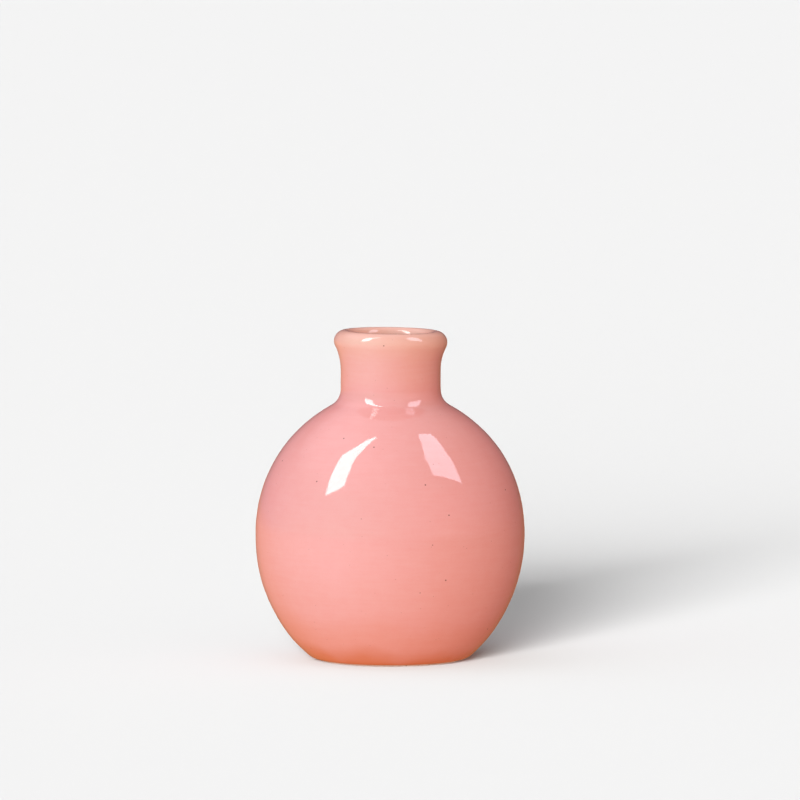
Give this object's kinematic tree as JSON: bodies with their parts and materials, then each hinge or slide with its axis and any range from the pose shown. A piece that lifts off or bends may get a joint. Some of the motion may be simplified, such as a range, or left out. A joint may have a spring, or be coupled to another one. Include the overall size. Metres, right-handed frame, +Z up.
{
  "type": "bud vase",
  "caption": "Round-bellied ceramic bud vase with a short narrow neck, a rolled lip, a glossy glaze inside and out, and a bare foot ring.",
  "frame": {"origin": "middle of the foot ring's resting face, at the level that the vase stands on", "axes": "+Z up along the vase's turning axis, from the foot to the mouth; the shape is the same all round, and -Y faces a viewer in front with +X to the right"},
  "size_m": [0.0976, 0.0976, 0.12],
  "materials": {
    "bare_clay": "matte",
    "outer_glaze": "gloss",
    "liner_glaze": "gloss",
    "base_glaze": "gloss"
  },
  "bodies": {
    "root": {"clay_body": "bare_clay", "outer_glaze": "outer_glaze", "liner_glaze": "liner_glaze", "base_glaze": "base_glaze"}
  },
  "joints": []
}
